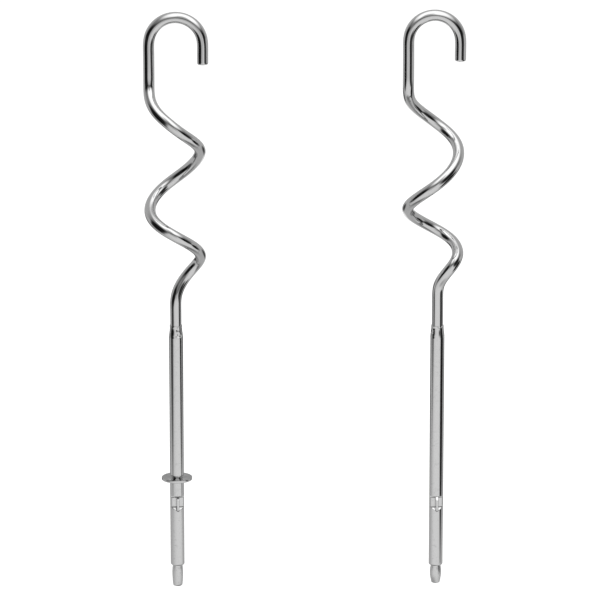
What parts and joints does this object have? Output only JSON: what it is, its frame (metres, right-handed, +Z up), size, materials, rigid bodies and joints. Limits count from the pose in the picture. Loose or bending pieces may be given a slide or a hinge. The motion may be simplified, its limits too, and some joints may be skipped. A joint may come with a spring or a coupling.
{
  "type": "hand mixer dough hook pair",
  "caption": "Mirrored dough hooks for a hand mixer: bent plated wire with a U bend and an open helix, on tubular shanks with pressed drive ears and a keying collar.",
  "frame": {"origin": "midway between the two shank axes, level with the left hook's nose tip", "axes": "+Z up along the shanks, from the drive ends to the U bends; +X from the left hook to the right hook; +Y to the back"},
  "size_m": [0.1235, 0.0238, 0.2313],
  "materials": {
    "wire": "bright plated round wire",
    "tube": "plated drawn tube with fine lengthwise marks",
    "plug": "plated turned steel, satin",
    "collar": "bright plated stamped washer"
  },
  "bodies": {
    "collar": {"collar": "collar"},
    "left_hook": {"left_hook_wire": "wire", "left_shank_tube": "tube", "left_nose_plug": "plug"},
    "right_hook": {"right_hook_wire": "wire", "right_shank_tube": "tube", "right_nose_plug": "plug"}
  },
  "joints": [
    {"name": "left_hook_spin", "type": "hinge", "parent": "collar", "child": "left_hook", "pos_m": [-0.0507, 0, 0.0443], "axis": [0, 0, 1], "continuous": true},
    {"name": "right_hook_spin", "type": "hinge", "parent": "collar", "child": "right_hook", "pos_m": [0.0507, 0, 0.0443], "axis": [0, 0, 1], "continuous": true}
  ]
}
